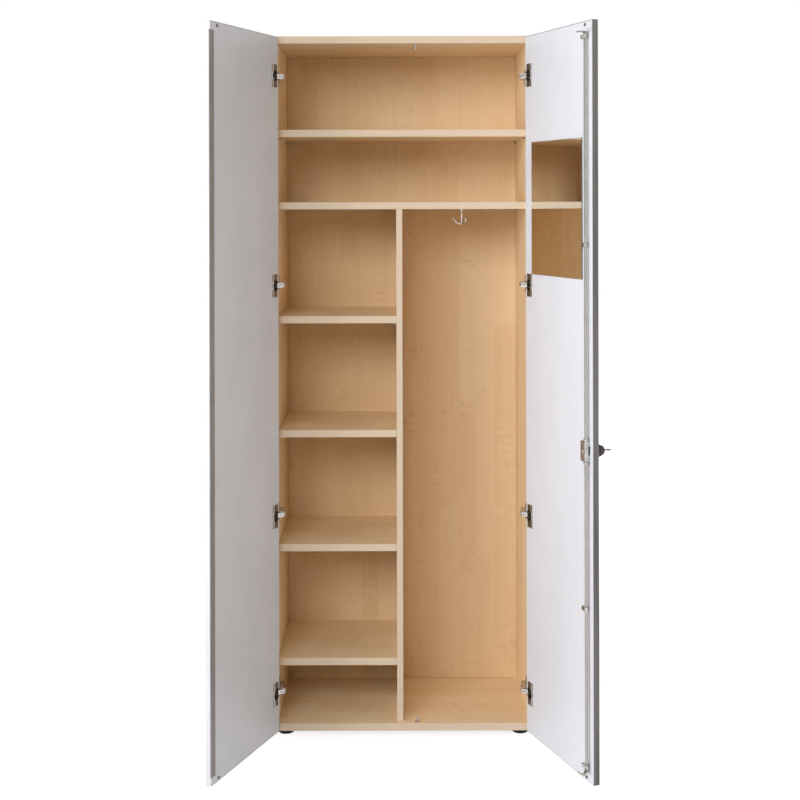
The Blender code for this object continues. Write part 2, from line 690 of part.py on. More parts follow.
def make_right_door(look, door):
    x = across("right", ROD_ACROSS)
    hole = cylinder(
        SPINDLE_RADIUS + SPINDLE_GAP, (x, inward(-2 * DOOR), LOCK_HEIGHT), (x, inward(DOOR), LOCK_HEIGHT),
        SMALL_SIDES,
    )
    piece("door_right", door_panel("right", [("DIFFERENCE", hole)]), look["door"], door)
    make_bumpers("right", look, door)
    make_mirror(look, door)
    make_guides(look, door)
    make_lock_case(look, door)
    rod_axis = empty("rod_axis", door, (x, inward(ROD_OFF_DOOR), 0))
    make_bolt(look, rod_axis)
    knob_axis = empty("knob_axis", door, (x, inward(-DOOR), LOCK_HEIGHT))
    knob_axis.rotation_euler = (math.radians(90), 0, 0)
    make_knob(look, knob_axis)


def make_strike_pins(look, body):
    """The pins that the rod's hooks catch, where the hook's finger ends its turn behind them."""
    rod_x = DOOR_MEETING_GAP / 2 + ROD_FREE_EDGE
    rod_y = FRONT - DOOR_GAP + ROD_OFF_DOOR
    angle = math.radians(STRIKE_ANGLE)
    place = (rod_x + STRIKE_REACH * math.cos(angle), rod_y + STRIKE_REACH * math.sin(angle))
    pin = turned((
        (0, SEAT),
        (STRIKE_FLANGE_RADIUS, SEAT),
        (STRIKE_FLANGE_RADIUS, SEAT + STRIKE_FLANGE),
        (STRIKE_RADIUS, SEAT + STRIKE_FLANGE),
        (STRIKE_RADIUS, STRIKE_LENGTH),
        (0, STRIKE_LENGTH),
    ), SMALL_SIDES)
    piece("strike_pin_bottom", pin, look["steel"], body, (*place, BOARD), smooth=True)
    piece("strike_pin_top", moved(pin, MIRROR_Z), look["steel"], body, (*place, HEIGHT - BOARD), smooth=True)


# Coat hook: a base under the fixed shelf and a swivel with bent arms, both hanging down from z = 0.
def make_coat_hook(look, body):
    x = (DIVIDER_RIGHT + INNER_X) / 2
    y = (SHELF_FRONT + BACK_FACE) / 2
    holder = empty("coat_hook_axis", body, (x, y, FIXED_TOP - BOARD))
    boss_end = -SEAT - COAT_BASE - COAT_BOSS
    bore = COAT_PIN_RADIUS + COAT_PIN_GAP
    pin_top = boss_end + COAT_PIN_BITE
    base = turned((
        (0, -SEAT),
        (COAT_BASE_RADIUS, -SEAT),
        (COAT_BASE_RADIUS, -SEAT - COAT_BASE),
        (COAT_BOSS_RADIUS, -SEAT - COAT_BASE),
        (COAT_BOSS_RADIUS, boss_end),
        (bore, boss_end),
        (bore, pin_top + SEAT),
        (0, pin_top + SEAT),
    ))
    piece("coat_hook_base", base, look["steel"], holder, smooth=True)
    stem_top = boss_end - SEAT
    stem_end = stem_top - COAT_STEM
    swivel = turned((
        (0, pin_top),
        (COAT_PIN_RADIUS, pin_top),
        (COAT_PIN_RADIUS, stem_top),
        (COAT_STEM_RADIUS, stem_top),
        (COAT_STEM_RADIUS, stem_end),
        (0, stem_end - COAT_STEM_RADIUS / 2),
    ), SMALL_SIDES)
    # Each arm is a quarter of an ellipse, from the stem's foot out and up to the tip.
    low = stem_end + COAT_WIRE
    path = [(COAT_REACH * x, 0.0, low + COAT_RISE * (1 + y)) for x, y in arc(1.0, -90, 0, 9)]
    tip = path[-1]
    arm = wire(path, COAT_WIRE)
    ball = turned([(r, z) for r, z in arc(COAT_TIP_RADIUS, -90, 90, 8)], SMALL_SIDES)
    ball.transform(Matrix.Translation(tip))
    steps = []
    for number in range(COAT_ARMS):
        turn = Matrix.Rotation(2 * math.pi * number / COAT_ARMS + math.pi, 4, "Z")
        steps += [("UNION", moved(arm, turn)), ("UNION", moved(ball, turn))]
    piece("coat_hook", carve(swivel, *steps), look["steel"], holder, smooth=True)


def main():
    for old in list(bpy.data.objects):
        bpy.data.objects.remove(old)
    look = finishes()
    body = empty("wardrobe", None, (0, 0, FOOT_HEIGHT))
    doors = {
        "left": empty("door_left_axis", body, (-PIVOT_X, PIVOT_Y, 0), -LEFT_OPEN),
        "right": empty("door_right_axis", body, (PIVOT_X, PIVOT_Y, 0), RIGHT_OPEN),
    }
    make_boards(look, body)
    make_shelf_supports(look, body)
    make_feet(look, body)
    make_hinges(look, body, doors)
    make_left_door(look, doors["left"])
    make_right_door(look, doors["right"])
    make_strike_pins(look, body)
    make_coat_hook(look, body)


main()
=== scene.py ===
import math

import bpy
import numpy as np
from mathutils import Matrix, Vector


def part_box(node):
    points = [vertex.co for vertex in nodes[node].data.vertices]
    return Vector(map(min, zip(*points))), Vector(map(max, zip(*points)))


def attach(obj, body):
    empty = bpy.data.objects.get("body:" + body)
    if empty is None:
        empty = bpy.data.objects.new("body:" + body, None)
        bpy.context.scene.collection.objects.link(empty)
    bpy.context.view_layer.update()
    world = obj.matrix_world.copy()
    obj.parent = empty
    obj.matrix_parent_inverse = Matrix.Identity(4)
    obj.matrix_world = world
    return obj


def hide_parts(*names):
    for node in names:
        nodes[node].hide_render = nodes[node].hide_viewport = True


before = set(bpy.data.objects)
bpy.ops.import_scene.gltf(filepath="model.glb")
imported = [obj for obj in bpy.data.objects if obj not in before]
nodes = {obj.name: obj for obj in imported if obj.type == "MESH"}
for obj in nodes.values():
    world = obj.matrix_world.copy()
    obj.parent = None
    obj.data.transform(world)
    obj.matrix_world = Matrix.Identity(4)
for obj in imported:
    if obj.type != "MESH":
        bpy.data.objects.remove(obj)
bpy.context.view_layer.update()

print("frame loaded:", len(nodes), "nodes")


# Camera: level, turned a hair about its own axis, lens shifted down to take in the feet
viewpoint = {
    "place": (-0.006, -4.05325, 1.6508), "roll": 0.0023, "lens": 56.58, "sensor": 36.0, "drop": -0.2485,
}


def setCamera():
    data = bpy.data.cameras.new("camera")
    data.lens = viewpoint["lens"]
    data.sensor_width = viewpoint["sensor"]
    data.shift_y = viewpoint["drop"]
    camera = bpy.data.objects.new("camera", data)
    camera.location = viewpoint["place"]
    camera.rotation_euler = (math.pi / 2, viewpoint["roll"], 0)
    bpy.context.scene.collection.objects.link(camera)
    bpy.context.scene.camera = camera


setCamera()


# Shader maths: a socket with operators, each adding one Math node
class Wire:
    def __init__(self, tree, socket=None):
        self.tree = tree
        self.socket = socket

    # any node: its type, its settings first, then the values or links of its sockets
    def node(self, kind, settings=None, sockets=None, out=0):
        made = self.tree.nodes.new("ShaderNode" + kind)
        for key, value in (settings or {}).items():
            setattr(made, key, value)
        for key, value in (sockets or {}).items():
            if isinstance(value, Wire):
                self.tree.links.new(value.socket, made.inputs[key])
            else:
                made.inputs[key].default_value = value
        return Wire(self.tree, made.outputs[out])

    def maths(self, operation, first, second=0.0):
        return self.node("Math", {"operation": operation}, {0: first, 1: second})

    def __add__(self, other):
        return self.maths("ADD", self, other)

    def __sub__(self, other):
        return self.maths("SUBTRACT", self, other)

    def __rsub__(self, other):
        return self.maths("SUBTRACT", other, self)

    def __mul__(self, other):
        return self.maths("MULTIPLY", self, other)

    def __lt__(self, other):
        return self.maths("LESS_THAN", self, other)

    __radd__ = __add__
    __rmul__ = __mul__

    def most(self, other):
        return self.maths("MAXIMUM", self, other)

    # 0 below low, 1 above high, eased between
    def ease(self, low, high):
        limits = {0: self, 1: low, 2: high, 3: 0.0, 4: 1.0}
        return self.node("MapRange", {"interpolation_type": "SMOOTHSTEP"}, limits)

    # first where this is 0, second where it is 1
    def mixed(self, first, second):
        colours = [c if isinstance(c, Wire) else (*c, 1.0) for c in (first, second)]
        return self.node("Mix", {"data_type": "RGBA"}, {0: self, 6: colours[0], 7: colours[1]}, 2)

    def along(self, direction):
        return self.node("VectorMath", {"operation": "DOT_PRODUCT"}, {0: self, 1: direction}, 1)

    # noise stretched by a scale for each axis
    def noise(self, stretch, detail, rough=0.55, warp=0.0):
        spread = self.node("Mapping", {}, {"Vector": self, "Scale": stretch})
        look = {"Scale": 1.0, "Detail": detail, "Roughness": rough, "Distortion": warp}
        return self.node("TexNoise", {}, {"Vector": spread, **look})


# a material with its constants set, and what its pattern is made from and fed to
def newFinish(name, constants):
    material = bpy.data.materials.new(name)
    material.use_nodes = True
    tree = material.node_tree
    shader = tree.nodes["Principled BSDF"]
    for key, value in constants.items():
        shader.inputs[key].default_value = value
    start = Wire(tree)
    place = start.node("TexCoord", out=3)
    facing = start.node("TexCoord", out=1)

    def feed(**links):
        for key, value in links.items():
            tree.links.new(value.socket, shader.inputs[key.replace("_", " ")])

    def bump(height, distance, strength):
        feed(Normal=start.node("Bump", {}, {"Height": height, "Distance": distance, "Strength": strength}))

    return material, place, facing, feed, bump


# Doors: t runs from the hinge edge to the free edge, d from the inner face into the carcass
doors = {
    "left": {"pivot": (-0.3905, -0.20275), "open": -112.75, "sign": 1.0, "body": "left_door"},
    "right": {"pivot": (0.3905, -0.20275), "open": 112.0, "sign": -1.0, "body": "right_door"},
    "edgeToPivot": 0.008, "pivotDepth": 0.009, "low": 0.027, "high": 2.155,
}


def doorAxes(side):
    turn = math.radians(doors[side]["open"])
    across = np.array([math.cos(turn), math.sin(turn), 0.0]) * doors[side]["sign"]
    inward = np.array([-math.sin(turn), math.cos(turn), 0.0])
    return across, inward, np.array([0.0, 0.0, 1.0])


def onDoor(side, t, d, z):
    across, inward, up = doorAxes(side)
    pivot = np.array([*doors[side]["pivot"], 0.0])
    return pivot + across * (t - doors["edgeToPivot"]) + inward * (doors["pivotDepth"] + d) + up * z


# Maple-faced board: staves of a slightly different tone, curly marks across them with a painted sheen beside
# them, long fibres, short pores;
# front edges have a paler band. The noises are given as waves to the metre (across, along) the grain
maple = {
    "upright": ((0.824, 0.594, 0.342), (0.892, 0.684, 0.434)),
    # painted light: the flat boards take lighter tones than the upright ones, for the light that falls on
    # them from above
    "flat": ((0.866, 0.648, 0.392), (0.920, 0.734, 0.488)),
    "pore": (0.54, 0.34, 0.16), "gleam": (0.95, 0.80, 0.60),
    "band": (0.800, 0.636, 0.468), "bandLow": (0.825, 0.652, 0.464), "bandDepth": -0.160,
    "gloss": 0.10, "rough": 0.44, "pores": 0.10, "curls": 0.26, "sheen": 0.36, "relief": 0.00012,
    "staveWide": 0.066, "staveLong": 0.58, "staveSway": 0.06, "staveStart": 9.0,
    "sway": (7.0, 0.0), "figure": (11.0, 1.8), "streak": (110.0, 2.4), "fibre": (620.0, 14.0),
    "fleck": (430.0, 34.0), "wave": (13.0, 38.0), "patch": (9.0, 6.0),
}


def mapleBoard(name, grain, tones):
    material, place, facing, feed, bump = newFinish(name, {"Specular IOR Level": maple["gloss"]})

    def stretched(key):
        across, along = maple[key]
        return tuple(along if axis == grain else across for axis in "xyz")

    def chance(seed):
        return place.node("TexWhiteNoise", {"noise_dimensions": "1D"}, {"W": seed})

    # staves in rows across the grain, each row started at its own place, each stave cut from another spot
    run = place.along((1.0, 0.0, 0.0) if grain == "x" else (0.0, 0.0, 1.0))
    side = place.along((0.0, 1.0, 0.0) if grain == "x" else (1.0, 1.0, 0.0))
    sway = place.noise(stretched("sway"), 1.0) * maple["staveSway"]
    row = place.maths("FLOOR", (side + sway) * (1 / maple["staveWide"]))
    piece = place.maths("FLOOR", run * (1 / maple["staveLong"]) + chance(row) * maple["staveStart"])
    stave = chance(row * 13.7 + piece * 3.1)
    spot = stave.mixed((0.0, 0.0, 0.0), (5.0, 5.0, 5.0))
    cut = place.node("VectorMath", {"operation": "ADD"}, {0: place, 1: spot})
    figure = cut.noise(stretched("figure"), 3.0, 0.6, 0.8)
    streak = cut.noise(stretched("streak"), 4.0, 0.65, 0.3)
    fibre = place.noise(stretched("fibre"), 3.0, 0.65)
    fleck = place.noise(stretched("fleck"), 2.0, 0.5)
    wave = cut.noise(stretched("wave"), 2.0, 0.55, 2.0)
    patch = cut.noise(stretched("patch"), 2.0, 0.5).ease(0.50, 0.64)
    curl = wave.ease(0.56, 0.70) * patch * maple["curls"]
    # painted sheen: beside the curls the colour is mixed towards a lighter one, a highlight fixed in the wood
    gleam = (1 - wave).ease(0.56, 0.70) * patch * maple["sheen"]
    pore = fleck.ease(0.60, 0.70) * maple["pores"]
    tone = (figure * 0.36 + stave * 0.22 + streak * 0.34 + fibre * 0.08).ease(0.24, 0.72)
    face = gleam.mixed(tone.mixed(*tones), maple["gleam"])
    face = (pore + curl).mixed(face, maple["pore"])
    bandGrain = place.noise((7.0, 60.0, 340.0), 3.0, 0.6).ease(0.35, 0.68)
    band = bandGrain.mixed(maple["band"], maple["bandLow"])
    forward = facing.along((0.0, -1.0, 0.0)).ease(0.55, 0.85)
    front = forward * (place.along((0.0, 1.0, 0.0)) < maple["bandDepth"])
    feed(Base_Color=front.mixed(face, band))
    feed(Roughness=(figure - 0.5) * 0.16 + (fibre - 0.5) * 0.10 + front * -0.06 + maple["rough"])
    bump((fibre * 0.6 + streak * 0.4 - pore * 2.5) * (1 - front * 0.8), maple["relief"], 0.6)
    return material


# Door laminate: pale grey-white with a fine pebble and handled smudges, a grey line along top and bottom;
# the free edge is dark on the right door and pale on the left
laminate = {
    "face": (0.748, 0.756, 0.782), "shade": (0.704, 0.712, 0.740), "pale": (0.680, 0.682, 0.676),
    "trim": (0.108, 0.100, 0.094), "trimLight": (0.178, 0.167, 0.155),
    "line": (0.30, 0.295, 0.29), "lineWide": 0.0030, "lineStrength": 0.75,
    "gloss": 0.45, "rough": 0.40, "relief": 0.00006,
}


def doorLaminate(side):
    constants = {"Specular IOR Level": laminate["gloss"]}
    material, place, facing, feed, bump = newFinish("door_laminate_" + side, constants)
    across, inward, up = doorAxes(side)
    z = place.along(tuple(up))
    cloud = place.noise((3.1, 3.1, 2.0), 4.0, 0.6, 0.4)
    smear = place.noise((16.0, 16.0, 5.0), 3.0, 0.6, 1.2)
    pebble = place.noise((900.0, 900.0, 900.0), 2.0, 0.6)
    smudge = cloud.ease(0.35, 0.68) * 0.7 + smear.ease(0.5, 0.75) * 0.3
    face = smudge.mixed(laminate["face"], laminate["shade"])
    ends = (z - doors["low"] < laminate["lineWide"]).most(doors["high"] - z < laminate["lineWide"])
    face = (ends * laminate["lineStrength"]).mixed(face, laminate["line"])
    edge = facing.along(tuple(across)).ease(0.5, 0.8)
    run = place.noise((70.0, 70.0, 2.5), 3.0, 0.6)
    if side == "right":
        band = run.ease(0.35, 0.65).mixed(laminate["trim"], laminate["trimLight"])
    else:
        band = run.ease(0.3, 0.7).mixed(laminate["pale"], laminate["face"])
    feed(Base_Color=edge.mixed(face, band))
    feed(Roughness=(smear - 0.5) * 0.22 + (cloud - 0.5) * 0.10 + laminate["rough"])
    bump(pebble * 0.7 + smear * 0.3, laminate["relief"], 0.5)
    return material


# Nickel-plated steel: drawn or brushed lines along one axis, clouded gloss, a few dull specks
steel = {
    "bright": (0.78, 0.765, 0.745), "dull": (0.62, 0.605, 0.585), "speck": (0.36, 0.34, 0.32),
    "linesAlong": 30.0, "linesAcross": 1400.0, "relief": 0.00002,
}


def platedSteel(name, grain, rough, tint):
    material, place, facing, feed, bump = newFinish(name, {"Metallic": 1.0})
    stretch = tuple(steel["linesAlong" if axis == grain else "linesAcross"] for axis in "xyz")
    lines = place.noise(stretch, 2.0, 0.6)
    cloud = place.noise((60.0, 60.0, 40.0), 3.0, 0.6, 0.5)
    speck = place.noise((900.0, 900.0, 900.0), 2.0, 0.5).ease(0.66, 0.74)
    tone = (cloud * 0.6 + lines * 0.4).ease(0.35, 0.65)
    colours = [tuple(c * k for c, k in zip(steel[key], tint)) for key in ("dull", "bright")]
    feed(Base_Color=(speck * 0.5).mixed(tone.mixed(*colours), steel["speck"]))
    feed(Roughness=(cloud - 0.5) * 0.18 + (lines - 0.5) * 0.10 + speck * 0.15 + rough)
    bump(lines, steel["relief"], 0.5)
    return material


# Mirror: clear silvering, wiped haze, ground edge
glass = {
    "clear": (0.90, 0.895, 0.885), "hazy": (0.86, 0.86, 0.855), "rim": (0.19, 0.205, 0.20), "rough": 0.015,
}


def mirrorGlass():
    material, place, facing, feed, bump = newFinish("mirror_glass", {"Metallic": 1.0})
    across, inward, up = doorAxes("right")
    haze = place.noise((24.0, 24.0, 6.0), 4.0, 0.6, 1.0).ease(0.50, 0.80)
    dust = place.noise((1300.0, 1300.0, 1300.0), 1.0, 0.5).ease(0.70, 0.78)
    rim = 1 - facing.along(tuple(inward)).ease(0.90, 0.995)
    feed(Base_Color=rim.mixed(haze.mixed(glass["clear"], glass["hazy"]), glass["rim"]))
    feed(Roughness=haze * 0.035 + dust * 0.05 + rim * 0.12 + glass["rough"])
    bump(haze, 0.00001, 0.2)
    return material


# Moulded plastic: spark-eroded grain, scuffs, a little cloudiness
plastic = {"grain": 700.0, "relief": 0.00007}


def mouldedPlastic(name, colour, worn, rough, shine=0.4):
    material, place, facing, feed, bump = newFinish(name, {"Specular IOR Level": shine})
    grain = place.noise((plastic["grain"],) * 3, 3.0, 0.65)
    cloud = place.noise((40.0, 40.0, 9.0), 3.0, 0.6, 0.5)
    scuff = place.noise((260.0, 260.0, 30.0), 3.0, 0.7, 1.5).ease(0.60, 0.72)
    tone = (cloud * 0.7 + grain * 0.3).ease(0.35, 0.70)
    base = tone.mixed(colour, tuple(c * 0.5 + w * 0.5 for c, w in zip(colour, worn)))
    feed(Base_Color=(scuff * 0.6).mixed(base, worn))
    feed(Roughness=(cloud - 0.5) * 0.15 + scuff * 0.12 + rough)
    bump(grain * 0.7 + scuff * 0.3, plastic["relief"], 0.6)
    return material


finishes = {
    "upright": mapleBoard("maple_upright", "z", maple["upright"]),
    # painted light: the flat boards' lighter maple stands for the light from above
    "flat": mapleBoard("maple_flat_painted_light", "x", maple["flat"]),
    "left": doorLaminate("left"),
    "right": doorLaminate("right"),
    "rod": platedSteel("steel_rod", "z", 0.40, (0.62, 0.61, 0.59)),
    "nickel": platedSteel("steel_nickel", "z", 0.24, (0.72, 0.71, 0.70)),
    "chrome": platedSteel("steel_chrome", "z", 0.14, (0.97, 0.96, 0.94)),
    "pressed": platedSteel("steel_pressed", "y", 0.28, (0.82, 0.78, 0.75)),
    "cover": platedSteel("steel_cover", "y", 0.46, (0.80, 0.76, 0.74)),
    "screw": platedSteel("steel_screw", "x", 0.30, (0.70, 0.69, 0.67)),
    "cup": platedSteel("steel_cup", "z", 0.36, (0.36, 0.32, 0.30)),
    # painted shade: near-black steel for the hinge parts that stand in the cup's shade and round the plate
    "link": platedSteel("steel_painted_shade", "z", 0.45, (0.10, 0.09, 0.085)),
    "key": platedSteel("steel_key", "x", 0.36, (0.27, 0.26, 0.26)),
    "mirror": mirrorGlass(),
    "grey": mouldedPlastic("grey_plastic", (0.275, 0.252, 0.245), (0.38, 0.36, 0.35), 0.48),
    "black": mouldedPlastic("black_plastic", (0.009, 0.009, 0.009), (0.030, 0.029, 0.028), 0.46, 0.15),
    "dark": mouldedPlastic("dark_plastic", (0.030, 0.019, 0.020), (0.085, 0.062, 0.062), 0.38),
    "pad": mouldedPlastic("pad_rubber", (0.10, 0.10, 0.105), (0.17, 0.17, 0.17), 0.55),
}
print("finishes made:", len(finishes))


# Surfaces: a shell is (points, quads, end caps)
# grid: point (i, j) joins (i, j+1), (i+1, j+1), (i+1, j); columns close on themselves, the ends are capped
def gridShell(points):
    rows, columns = points.shape[:2]
    i = np.arange(rows - 1)[:, None]
    j = np.arange(columns)[None, :]
    k = (j + 1) % columns
    quads = np.stack([i * columns + j, i * columns + k, (i + 1) * columns + k, (i + 1) * columns + j], -1)
    ring = np.arange(columns)
    return points.reshape(-1, 3), quads.reshape(-1, 4), [ring[::-1], ring + (rows - 1) * columns]


# corner p becomes (1-s)^2 a + 2 s (1-s) p + s^2 b, with a and b a radius away on its two sides
def roundedLine(points, radius, steps, closed=False):
    p = np.asarray(points, float)
    before = np.roll(p, 1, 0) - p
    after = np.roll(p, -1, 0) - p
    reach = [np.linalg.norm(v, axis=1, keepdims=True) for v in (before, after)]
    r = np.minimum(radius, 0.45 * np.minimum(*reach))
    a = p + before / reach[0] * r
    b = p + after / reach[1] * r
    s = np.linspace(0, 1, steps + 1)[None, :, None]
    curve = (1 - s) ** 2 * a[:, None] + 2 * s * (1 - s) * p[:, None] + s ** 2 * b[:, None]
    if closed:
        return curve.reshape(-1, p.shape[1])
    return np.concatenate([p[:1], curve[1:-1].reshape(-1, p.shape[1]), p[-1:]])


# lathe: (r, h) goes to (r cos a, r sin a, h), a once round; ribs make r swell with the angle
def lathe(profile, sides, ribs=None):
    profile = np.asarray(profile, float)
    angle = np.linspace(0, 2 * math.pi, sides, endpoint=False)[None, :]
    radius = profile[:, :1] * np.ones_like(angle)
    if ribs is not None:
        count, depth, low, high = ribs
        between = (profile[:, 1:] > low) & (profile[:, 1:] < high)
        inside = between & (profile[:, :1] > 0.6 * profile[:, 0].max())
        radius = radius - inside * depth * (0.5 + 0.5 * np.cos(count * angle))
    points = np.stack([radius * np.cos(angle), radius * np.sin(angle), profile[:, 1:] + 0 * angle], -1)
    return gridShell(points)


# ring: a closed (r, h) loop spun about the axis, so rows and columns both close on themselves
def ringShell(loop, sides):
    points, quads, ends = lathe(np.concatenate([loop, loop[:1]]), sides)
    rows = len(loop)
    return points[:rows * sides], quads % (rows * sides), []


# slab: an outline carried up through stations (height, inset); inset draws it in by a share of its half sizes
def slab(outline, stations):
    outline = np.asarray(outline, float)
    stations = np.asarray(stations, float)
    middle = (outline.max(0) + outline.min(0)) / 2
    half = (outline.max(0) - outline.min(0)) / 2
    inset = 1 - stations[:, 1:, None] / half[None, None, :]
    flat = middle + (outline - middle)[None] * inset
    height = stations[:, :1] + np.zeros((1, len(outline)))
    return gridShell(np.concatenate([flat, height[..., None]], -1))


# rectangle about the origin with rounded corners
def rectangle(width, height, radius, steps=4):
    w, h = width / 2, height / 2
    return roundedLine([(-w, -h), (w, -h), (w, h), (-w, h)], radius, steps, True)


# tube: a ring carried along a path, each ring square to the path there
def tube(path, radius, sides=20):
    ahead = np.gradient(path, axis=0)
    ahead /= np.linalg.norm(ahead, axis=1, keepdims=True)
    aside = np.cross(ahead, np.array([0.0, 1.0, 0.0]))
    aside /= np.linalg.norm(aside, axis=1, keepdims=True)
    over = np.cross(ahead, aside)
    angle = np.linspace(0, 2 * math.pi, sides, endpoint=False)
    ring = np.cos(angle)[None, :, None] * aside[:, None] + np.sin(angle)[None, :, None] * over[:, None]
    return gridShell(path[:, None] + radius[:, None, None] * ring)


# Screw heads: polar grid; height falls with r squared, and a cross is pressed in where |x| or |y| is small
head = {
    "rings": (1.0, 1.0, 0.93, 0.80, 0.66, 0.60, 0.55, 0.42, 0.30, 0.18, 0.08), "sides": 32,
    "fall": 0.55, "crossHalf": 0.17, "crossReach": 0.62, "crossEdge": 0.06, "crossDeep": 0.75,
}


def screwHead(radius, height, turn=0.3):
    share = np.array(head["rings"])[:, None]
    angle = np.linspace(0, 2 * math.pi, head["sides"], endpoint=False)[None, :]
    x, y = share * np.cos(angle + turn), share * np.sin(angle + turn)
    near = np.minimum(np.abs(share * np.cos(angle)), np.abs(share * np.sin(angle)))
    narrow = np.clip((head["crossHalf"] - near) / head["crossEdge"], 0, 1)
    pressed = narrow * np.clip((head["crossReach"] - share) / head["crossEdge"], 0, 1)
    rise = height * (1 - head["fall"] * share ** 2) - head["crossDeep"] * height * pressed
    rise[0] = 0.0
    return gridShell(np.stack([radius * x, radius * y, rise], -1))


# the same shell with its faces the other way round
def turnOver(shell):
    points, quads, ends = shell
    return points, quads[:, ::-1], [end[::-1] for end in ends]


# local (a, b, c) goes to origin + a u + b v + c w; a left-handed u, v, w turns the faces over
def placed(shell, origin, u=(1, 0, 0), v=(0, 1, 0), w=(0, 0, 1)):
    axes = np.array([u, v, w], float)
    points, quads, ends = shell
    moved = (points @ axes + np.asarray(origin, float), quads, ends)
    return moved if np.linalg.det(axes) > 0 else turnOver(moved)


# several shells as one, their point numbers counted on
def joined(*shells):
    points, quads, ends, start = [], [], [], 0
    for p, q, e in shells:
        points.append(p)
        quads.append(q + start)
        ends += [end + start for end in e]
        start += len(p)
    return np.concatenate(points), np.concatenate(quads), ends


crease = math.radians(32)  # edges sharper than this aren't smoothed


def newPiece(name, shell, body, finish, standsFor=()):
    points, quads, ends = shell
    mesh = bpy.data.meshes.new(name)
    mesh.from_pydata(points.tolist(), [], quads.tolist() + [end.tolist() for end in ends])
    mesh.update()
    mesh.polygons.foreach_set("use_smooth", np.ones(len(mesh.polygons), bool))
    mesh.set_sharp_from_angle(angle=crease)
    mesh.materials.append(finishes[finish])
    piece = bpy.data.objects.new(name, mesh)
    bpy.context.scene.collection.objects.link(piece)
    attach(piece, body)
    if standsFor:
        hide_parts(*standsFor)


# CAD nodes that stay: name, finish, and softened edges where the real piece is pressed or moulded
softening = {"weld": 0.00001, "segments": 2, "angle": 38.0}
fittings = {
    "door_left": ("left", 0.0), "door_right": ("right", 0.0), "mirror": ("mirror", 0.0010),
    "strike_strip": ("grey", 0.0010), "lock_case": ("nickel", 0.0), "lock_cylinder": ("nickel", 0.0004),
    "key": ("key", 0.0005), "rod_hook_top": ("rod", 0.0007), "rod_hook_bottom": ("rod", 0.0007),
}


def dress(name, finish, soften=0.0):
    node = nodes[name]
    node.data.materials.clear()
    node.data.materials.append(finishes[finish])
    if soften:
        weld = node.modifiers.new("weld", "WELD")
        weld.merge_threshold = softening["weld"]
        bevel = node.modifiers.new("bevel", "BEVEL")
        bevel.width = soften
        bevel.segments = softening["segments"]
        bevel.limit_method = "ANGLE"
        bevel.angle_limit = math.radians(softening["angle"])
        bevel.use_clamp_overlap = True


for name in ("side_panel_left", "side_panel_right", "divider_panel", "back_panel"):
    dress(name, "upright")
for name in ("top_board", "bottom_board", "fixed_shelf", "hat_shelf",
             "shelf_1", "shelf_2", "shelf_3", "shelf_4"):
    dress(name, "flat")
for name, (finish, soften) in fittings.items():
    dress(name, finish, soften)
for number in range(1, 5):
    dress(f"rod_guide_{number}", "nickel")
    for side in ("left", "right"):
        dress(f"hinge_cup_{side}_{number}", "cup", 0.0003)
print("boards, doors and fittings finished")


def corners(name):
    return [np.array(corner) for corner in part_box(name)]


def middle(name):
    low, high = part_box(name)
    return np.array((low + high) / 2)


# Levelling feet: ribbed disc, hub, threaded stem with its key socket; ribs are (count, depth, low, high)
feet = {
    "places": ("front_left", "front_right", "rear_left", "rear_right"), "radius": 0.0255, "disc": 0.014,
    "chamfer": 0.0022, "hub": 0.014, "hubTop": 0.0233, "ribs": (40, 0.0007, 0.002, 0.012),
    "stem": 0.005, "thread": 0.0240, "threadDeep": 0.0005, "pitch": 0.0016,
    "socket": 0.0026, "socketDeep": 0.0055,
}


def makeFeet():
    f = feet
    r, disc, hub, stem, chamfer = f["radius"], f["disc"], f["hub"], f["stem"], f["chamfer"]
    base = roundedLine(
        [(r * 0.55, 0.0), (r - 0.0018, 0.0), (r, chamfer), (r, disc - chamfer), (r - 0.002, disc),
         (hub + 0.001, disc), (hub, disc + 0.002), (hub, f["hubTop"]), (stem, f["hubTop"])], 0.0012, 4)
    for place in f["places"]:
        name = "foot_" + place
        low, high = corners(name)
        top = high[2] - low[2]
        climb = np.linspace(f["thread"], top - 0.0008, 64)
        valley = 0.5 + 0.5 * np.cos(2 * math.pi * climb / f["pitch"])
        thread = np.stack([stem - f["threadDeep"] * valley, climb], -1)
        socket = np.array([(0.0042, top), (f["socket"], top), (f["socket"], top - f["socketDeep"])])
        shape = lathe(np.concatenate([base, thread, socket]), 80, f["ribs"])
        centre = ((low[0] + high[0]) / 2, (low[1] + high[1]) / 2, low[2])
        foot = placed(shape, centre)
        newPiece("levelling_" + name, foot, place + "_foot", "black", (name,))


makeFeet()
print("feet made")


